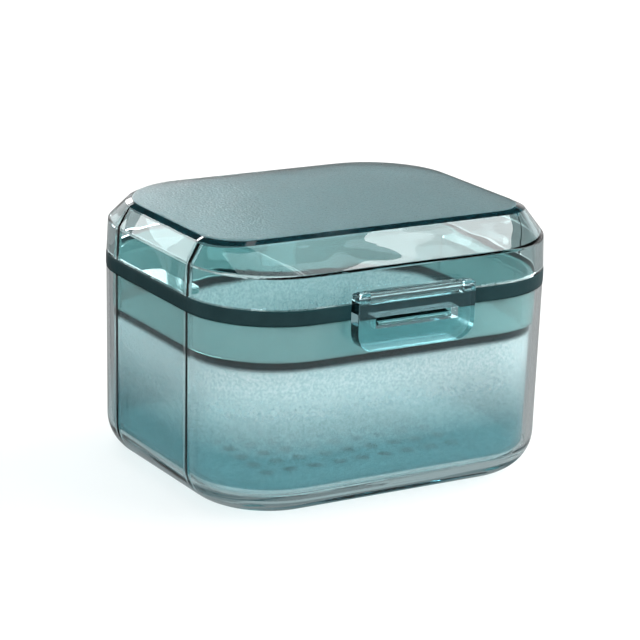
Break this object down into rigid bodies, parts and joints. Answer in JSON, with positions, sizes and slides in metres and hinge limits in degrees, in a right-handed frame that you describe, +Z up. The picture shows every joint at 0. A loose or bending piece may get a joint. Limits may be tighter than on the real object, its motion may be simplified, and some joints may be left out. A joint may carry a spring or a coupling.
{
  "type": "orthodontic organizer case",
  "caption": "Clear box case for retainers or dentures, with a lift-out strainer basket, a soft rim seal, and a bevelled hinged lid closed by a front latch.",
  "frame": {"origin": "Middle of the underside, at the bottom centre of the bounding box.", "axes": "+X to the right as seen from the front, +Y to the hinge at the back, +Z up. The latch faces -Y."},
  "size_m": [0.1002, 0.092, 0.068],
  "materials": {
    "clear_plastic": "clear, polished",
    "frosted_teal_plastic": "translucent, frosted",
    "clear_teal_plastic": "clear tinted, polished, frosted top",
    "teal_silicone": "soft satin",
    "pin_steel": "blackened, satin"
  },
  "bodies": {
    "base": {"outer_shell": "clear_plastic", "seal_ring": "teal_silicone", "hinge_pin": "pin_steel"},
    "basket": {"strainer_basket": "frosted_teal_plastic"},
    "lid": {"lid": "clear_teal_plastic"},
    "latch": {"latch": "clear_teal_plastic", "latch_pin": "pin_steel"}
  },
  "joints": [
    {"name": "lid_hinge", "type": "hinge", "parent": "base", "child": "lid", "pos_m": [0, 0.0442, 0.05165], "axis": [-1, 0, 0], "range_deg": [0, 110]},
    {"name": "latch_hinge", "type": "hinge", "parent": "lid", "child": "latch", "pos_m": [-0.0008, -0.04405, 0.05545], "axis": [-1, 0, 0], "range_deg": [0, 90]},
    {"name": "basket_lift", "type": "slide", "parent": "base", "child": "basket", "axis": [0, 0, 1], "range_m": [0, 0.052]}
  ],
  "couplings": [
    {"joint": "basket_lift", "follows": "lid_hinge", "m_per_rad": 0.027}
  ]
}
